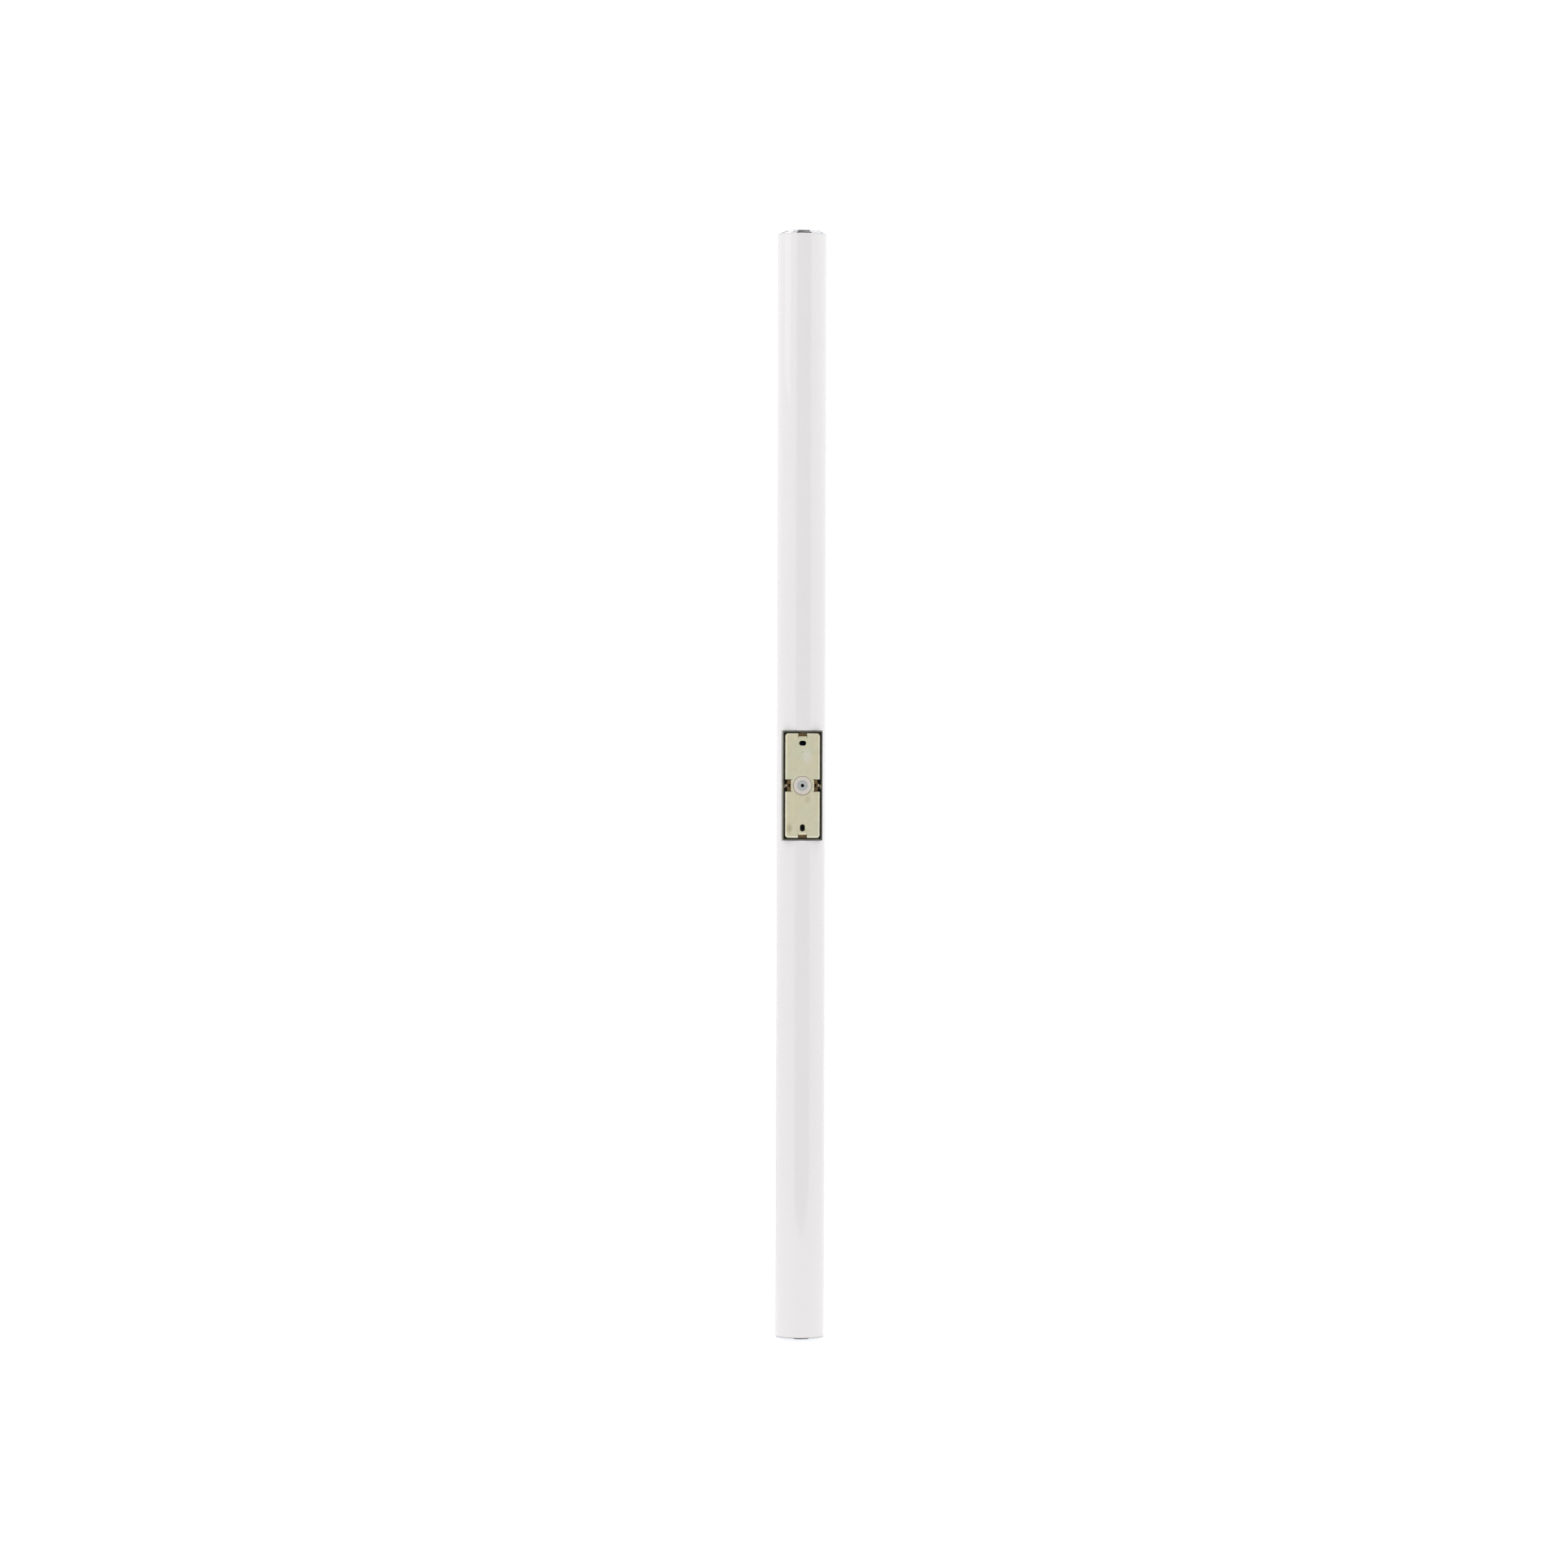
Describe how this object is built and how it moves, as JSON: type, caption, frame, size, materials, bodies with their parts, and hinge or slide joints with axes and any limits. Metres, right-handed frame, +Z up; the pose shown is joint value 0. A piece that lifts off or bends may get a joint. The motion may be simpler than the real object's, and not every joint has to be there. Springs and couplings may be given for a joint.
{
  "type": "tubular wall light",
  "caption": "Tubular LED wall light: an opal tube with chrome end caps, held to a screwed wall bracket by a recessed steel housing with side locks.",
  "frame": {"origin": "middle of the wall bracket's face that lies on the wall, on the axis of the cable grommet", "axes": "+Z up along the tube, +Y out of the wall into the room, +X to the right when looking at the light's back"},
  "size_m": [0.0508, 0.0514, 1.1684],
  "materials": {
    "yellow_passivated_steel": "zinc plated, yellow passivated, satin",
    "silicone": "translucent white silicone",
    "galvanised_sheet": "galvanised sheet steel, dull",
    "plated_bush_steel": "zinc plated, satin",
    "set_screw_steel": "zinc plated, bright",
    "pad_nylon": "natural nylon, satin",
    "opal_acrylic": "extruded opal acrylic, glossy",
    "chromed_plastic": "bright chrome plated",
    "plug_nylon": "moulded white nylon, satin",
    "nitrile_rubber": "moulded nitrile rubber",
    "mill_aluminium": "extruded, mill finish",
    "white_mask_board": "white solder mask on aluminium",
    "led_phosphor": "silicone with phosphor, glossy",
    "screw_steel": "zinc plated, bright",
    "connector_nylon": "moulded natural nylon",
    "driver_case_plastic": "moulded white polycarbonate",
    "driver_laminate": "green glass epoxy laminate",
    "ferrite": "sintered ferrite, matt",
    "capacitor_sleeve": "shrunk plastic sleeve",
    "choke_winding": "enamelled copper wire",
    "terminal_polyamide": "moulded polyamide",
    "tinned_copper": "tinned, bright",
    "blue_insulation": "extruded lead insulation",
    "brown_insulation": "extruded lead insulation",
    "earth_insulation": "green and yellow lead insulation",
    "red_insulation": "extruded lead insulation",
    "black_insulation": "extruded lead insulation"
  },
  "bodies": {
    "bracket": {"wall_bracket": "yellow_passivated_steel", "cable_grommet": "silicone"},
    "lamp": {"mount_housing": "galvanised_sheet", "lock_bushes": "plated_bush_steel", "housing_screws": "screw_steel", "diffuser_tube": "opal_acrylic", "top_end_plug": "plug_nylon", "bottom_end_plug": "plug_nylon", "top_seal_ring": "nitrile_rubber", "bottom_seal_ring": "nitrile_rubber", "plug_screws": "screw_steel", "led_carrier": "mill_aluminium", "carrier_clips": "plug_nylon", "led_board_upper": "white_mask_board", "led_board_lower": "white_mask_board", "led_chips_upper": "led_phosphor", "led_chips_lower": "led_phosphor", "board_screws": "screw_steel", "board_connectors": "connector_nylon", "board_link": "red_insulation", "driver_base": "driver_case_plastic", "driver_cover": "driver_case_plastic", "driver_board": "driver_laminate", "driver_transformer": "ferrite", "driver_capacitors": "capacitor_sleeve", "driver_coil": "choke_winding", "driver_screws": "screw_steel", "terminal_block": "terminal_polyamide", "terminal_screws": "screw_steel", "earth_screw": "screw_steel", "earth_ring": "tinned_copper", "lead_bush": "silicone", "neutral_lead": "blue_insulation", "live_lead": "brown_insulation", "earth_lead": "earth_insulation", "led_lead_positive": "red_insulation", "led_lead_negative": "black_insulation"},
    "top_cap": {"top_end_cap": "chromed_plastic"},
    "bottom_cap": {"bottom_end_cap": "chromed_plastic"},
    "left_pad": {"lock_pad_left": "pad_nylon"},
    "left_screw": {"lock_screw_left": "set_screw_steel"},
    "right_pad": {"lock_pad_right": "pad_nylon"},
    "right_screw": {"lock_screw_right": "set_screw_steel"}
  },
  "joints": [
    {"name": "lamp_lift", "type": "slide", "parent": "bracket", "child": "lamp", "axis": [0, 1, 0], "range_m": [0, 0.03]},
    {"name": "left_lock_travel", "type": "slide", "parent": "lamp", "child": "left_pad", "axis": [-1, 0, 0], "range_m": [0, 0.003]},
    {"name": "left_lock_turn", "type": "hinge", "parent": "left_pad", "child": "left_screw", "pos_m": [-0.0194, 0.0065, 0], "axis": [-1, 0, 0], "range_deg": [0, 1543]},
    {"name": "right_lock_travel", "type": "slide", "parent": "lamp", "child": "right_pad", "axis": [1, 0, 0], "range_m": [0, 0.003]},
    {"name": "right_lock_turn", "type": "hinge", "parent": "right_pad", "child": "right_screw", "pos_m": [0.0194, 0.0065, 0], "axis": [1, 0, 0], "range_deg": [0, 1543]},
    {"name": "top_cap_pull", "type": "slide", "parent": "lamp", "child": "top_cap", "axis": [0, 0, 1], "range_m": [0, 0.012]},
    {"name": "bottom_cap_pull", "type": "slide", "parent": "lamp", "child": "bottom_cap", "axis": [0, 0, -1], "range_m": [0, 0.012]}
  ],
  "couplings": [
    {"joint": "left_lock_turn", "follows": "left_lock_travel", "rad_per_m": 8976},
    {"joint": "right_lock_turn", "follows": "right_lock_travel", "rad_per_m": 8976}
  ]
}
